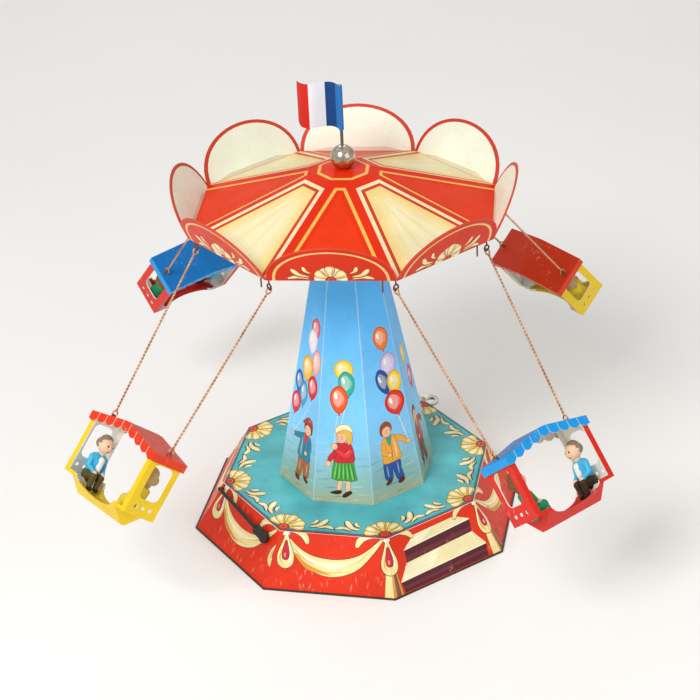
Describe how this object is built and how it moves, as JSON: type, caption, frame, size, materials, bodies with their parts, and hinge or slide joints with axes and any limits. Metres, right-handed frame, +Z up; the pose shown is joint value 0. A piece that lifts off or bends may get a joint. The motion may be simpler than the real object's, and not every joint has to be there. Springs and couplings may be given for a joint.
{
  "type": "clockwork swing carousel toy",
  "caption": "Clockwork toy swing carousel: octagonal base, tapered column, star canopy with upturned lobes, and two-seat cars that hang on wires and swing out as it turns.",
  "frame": {"origin": "on the floor, under the middle of the column", "axes": "+Z up along the drive shaft; the front face of the base looks along -Y"},
  "size_m": [0.3178, 0.3178, 0.2728],
  "materials": {
    "base_floor": "satin dark edge",
    "base_walls": "gloss lithographed tin",
    "deck": "gloss lithographed tin, mottled",
    "column": "gloss lithographed tin",
    "column_cap": "brushed",
    "foot_bearing": "turned",
    "front_plate": "stamped",
    "back_plate": "stamped",
    "plate_pillars": "turned",
    "mainspring": "blued",
    "great_wheel": "stamped",
    "click": "stamped",
    "first_arbor": "stamped",
    "second_arbor": "stamped",
    "governor_fly": "stamped",
    "winding_arbor": "turned",
    "ratchet_wheel": "stamped",
    "winding_key": "nickel plated",
    "stop_lever": "satin black",
    "drive_shaft": "turned",
    "crown_wheel": "stamped",
    "canopy_hub": "turned",
    "hub_pin": "turned",
    "canopy": "gloss lithographed tin",
    "canopy_lobes": "gloss lithographed tin",
    "finial_ball": "polished",
    "flag_pole": "drawn",
    "flag": "satin printed",
    "hooks": "dark drawn wire",
    "hanger_1": "twisted coppered wire",
    "car_body_1": "gloss lithographed tin",
    "car_roof_1": "gloss lithographed tin",
    "gentleman_1": "hand painted",
    "lady_1": "hand painted",
    "hanger_2": "twisted coppered wire",
    "car_body_2": "gloss lithographed tin",
    "car_roof_2": "gloss lithographed tin",
    "gentleman_2": "hand painted",
    "lady_2": "hand painted",
    "hanger_3": "twisted coppered wire",
    "car_body_3": "gloss lithographed tin",
    "car_roof_3": "gloss lithographed tin",
    "gentleman_3": "hand painted",
    "lady_3": "hand painted",
    "hanger_4": "twisted coppered wire",
    "car_body_4": "gloss lithographed tin",
    "car_roof_4": "gloss lithographed tin",
    "gentleman_4": "hand painted",
    "lady_4": "hand painted"
  },
  "bodies": {
    "base": {"base_floor": "base_floor", "base_walls": "base_walls", "deck": "deck", "column": "column", "column_cap": "column_cap", "foot_bearing": "foot_bearing", "front_plate": "front_plate", "back_plate": "back_plate", "plate_pillars": "plate_pillars", "mainspring": "mainspring"},
    "rotor": {"drive_shaft": "drive_shaft", "crown_wheel": "crown_wheel", "canopy_hub": "canopy_hub", "hub_pin": "hub_pin", "canopy": "canopy", "canopy_lobes": "canopy_lobes", "finial_ball": "finial_ball", "flag_pole": "flag_pole", "flag": "flag", "hooks": "hooks"},
    "great_wheel_body": {"great_wheel": "great_wheel"},
    "click_body": {"click": "click"},
    "first_arbor_body": {"first_arbor": "first_arbor"},
    "second_arbor_body": {"second_arbor": "second_arbor"},
    "governor_body": {"governor_fly": "governor_fly"},
    "winder": {"winding_arbor": "winding_arbor", "ratchet_wheel": "ratchet_wheel", "winding_key": "winding_key"},
    "lever": {"stop_lever": "stop_lever"},
    "hanger_1_body": {"hanger_1": "hanger_1"},
    "car_1": {"car_body_1": "car_body_1", "car_roof_1": "car_roof_1", "gentleman_1": "gentleman_1", "lady_1": "lady_1"},
    "hanger_2_body": {"hanger_2": "hanger_2"},
    "car_2": {"car_body_2": "car_body_2", "car_roof_2": "car_roof_2", "gentleman_2": "gentleman_2", "lady_2": "lady_2"},
    "hanger_3_body": {"hanger_3": "hanger_3"},
    "car_3": {"car_body_3": "car_body_3", "car_roof_3": "car_roof_3", "gentleman_3": "gentleman_3", "lady_3": "lady_3"},
    "hanger_4_body": {"hanger_4": "hanger_4"},
    "car_4": {"car_body_4": "car_body_4", "car_roof_4": "car_roof_4", "gentleman_4": "gentleman_4", "lady_4": "lady_4"}
  },
  "joints": [
    {"name": "rotor_spin", "type": "hinge", "parent": "base", "child": "rotor", "pos_m": [0, 0, 0.1], "axis": [0, 0, 1], "continuous": true},
    {"name": "second_arbor_spin", "type": "hinge", "parent": "base", "child": "second_arbor_body", "pos_m": [0, 0.02, 0.024], "axis": [0, -1, 0], "continuous": true},
    {"name": "first_arbor_spin", "type": "hinge", "parent": "base", "child": "first_arbor_body", "pos_m": [0.01057, 0.02, 0.02015], "axis": [0, -1, 0], "continuous": true},
    {"name": "great_wheel_spin", "type": "hinge", "parent": "base", "child": "great_wheel_body", "pos_m": [0.02332, 0.02, 0.015], "axis": [0, -1, 0], "continuous": true},
    {"name": "governor_spin", "type": "hinge", "parent": "base", "child": "governor_body", "pos_m": [-0.00966, 0.02, 0.02141], "axis": [0, -1, 0], "continuous": true},
    {"name": "click_lift", "type": "hinge", "parent": "great_wheel_body", "child": "click_body", "pos_m": [0.03144, 0.027, 0.01386], "axis": [0, 1, 0], "range_deg": [0, 15], "stiffness_Nm_per_rad": 0.00002, "springref_deg": -17.19},
    {"name": "winding_key_turn", "type": "hinge", "parent": "great_wheel_body", "child": "winder", "pos_m": [0.02332, 0.06, 0.015], "axis": [0, -1, 0], "continuous": true},
    {"name": "stop_lever_swing", "type": "hinge", "parent": "base", "child": "lever", "pos_m": [-0.07557, -0.03315, 0.0261], "axis": [-0.6078, -0.6078, 0.5109], "range_deg": [-5, 2]},
    {"name": "hanger_1_swing", "type": "hinge", "parent": "rotor", "child": "hanger_1_body", "pos_m": [-0.05045, -0.06208, 0.19], "axis": [-0.776, 0.6307, 0], "range_deg": [-46, 13]},
    {"name": "car_1_rock", "type": "hinge", "parent": "hanger_1_body", "child": "car_1", "pos_m": [-0.09308, -0.11453, 0.11494], "axis": [-0.776, 0.6307, 0], "range_deg": [-12, 12]},
    {"name": "hanger_2_swing", "type": "hinge", "parent": "rotor", "child": "hanger_2_body", "pos_m": [0.06208, -0.05045, 0.19], "axis": [-0.6307, -0.776, 0], "range_deg": [-46, 13]},
    {"name": "car_2_rock", "type": "hinge", "parent": "hanger_2_body", "child": "car_2", "pos_m": [0.11453, -0.09308, 0.11494], "axis": [-0.6307, -0.776, 0], "range_deg": [-12, 12]},
    {"name": "hanger_3_swing", "type": "hinge", "parent": "rotor", "child": "hanger_3_body", "pos_m": [0.05045, 0.06208, 0.19], "axis": [0.776, -0.6307, 0], "range_deg": [-46, 13]},
    {"name": "car_3_rock", "type": "hinge", "parent": "hanger_3_body", "child": "car_3", "pos_m": [0.09308, 0.11453, 0.11494], "axis": [0.776, -0.6307, 0], "range_deg": [-12, 12]},
    {"name": "hanger_4_swing", "type": "hinge", "parent": "rotor", "child": "hanger_4_body", "pos_m": [-0.06208, 0.05045, 0.19], "axis": [0.6307, 0.776, 0], "range_deg": [-46, 13]},
    {"name": "car_4_rock", "type": "hinge", "parent": "hanger_4_body", "child": "car_4", "pos_m": [-0.11453, 0.09308, 0.11494], "axis": [0.6307, 0.776, 0], "range_deg": [-12, 12]}
  ],
  "couplings": [
    {"joint": "second_arbor_spin", "follows": "rotor_spin", "ratio": 4.8},
    {"joint": "first_arbor_spin", "follows": "rotor_spin", "ratio": -1.2},
    {"joint": "great_wheel_spin", "follows": "rotor_spin", "ratio": 0.3},
    {"joint": "governor_spin", "follows": "rotor_spin", "ratio": -14.4}
  ]
}
